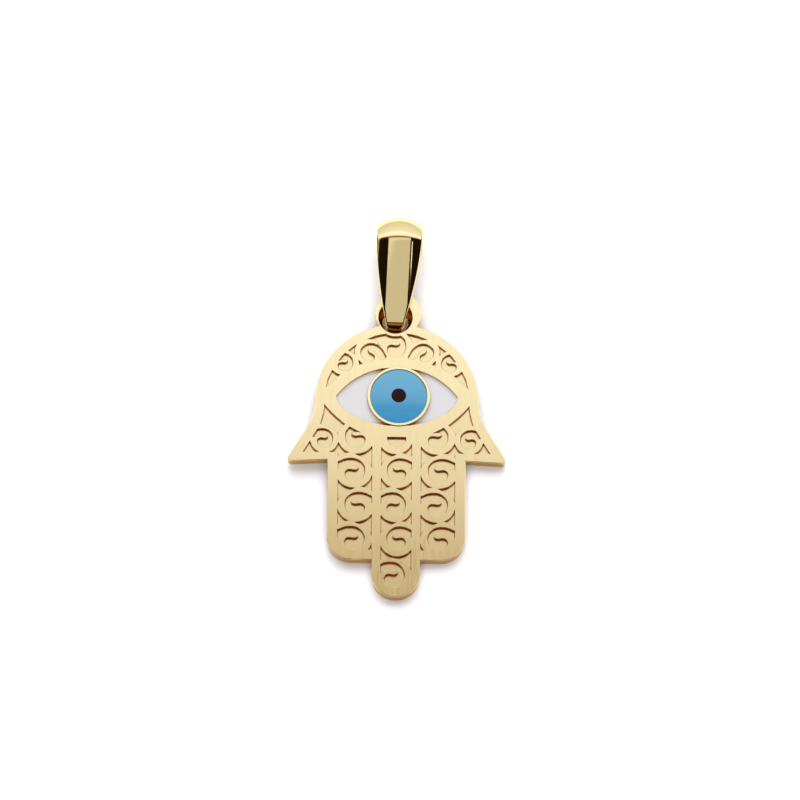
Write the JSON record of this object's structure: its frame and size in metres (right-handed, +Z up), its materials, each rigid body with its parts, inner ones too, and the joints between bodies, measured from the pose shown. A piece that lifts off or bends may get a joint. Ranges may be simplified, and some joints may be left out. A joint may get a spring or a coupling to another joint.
{
  "type": "hamsa pendant",
  "caption": "Gold hamsa hand pendant with an enamelled eye, sunk scrollwork and a folded strip bail, lying on its back.",
  "frame": {"origin": "Centre of the footprint, on the ground that the pendant lies on.", "axes": "+X to the right of the hand seen from its front with the bail at the top, +Y from the fingers to the bail, +Z up, out of the hand's face"},
  "size_m": [0.015, 0.0276, 0.0033],
  "materials": {
    "gold_satin": "satin",
    "gold_polished": "polished",
    "enamel_white": "gloss",
    "enamel_blue": "gloss",
    "enamel_dark": "gloss"
  },
  "bodies": {
    "root": {"hand": "gold_satin", "enamel_left": "enamel_white", "enamel_right": "enamel_white", "iris": "enamel_blue", "pupil": "enamel_dark", "bail": "gold_polished"}
  },
  "joints": []
}
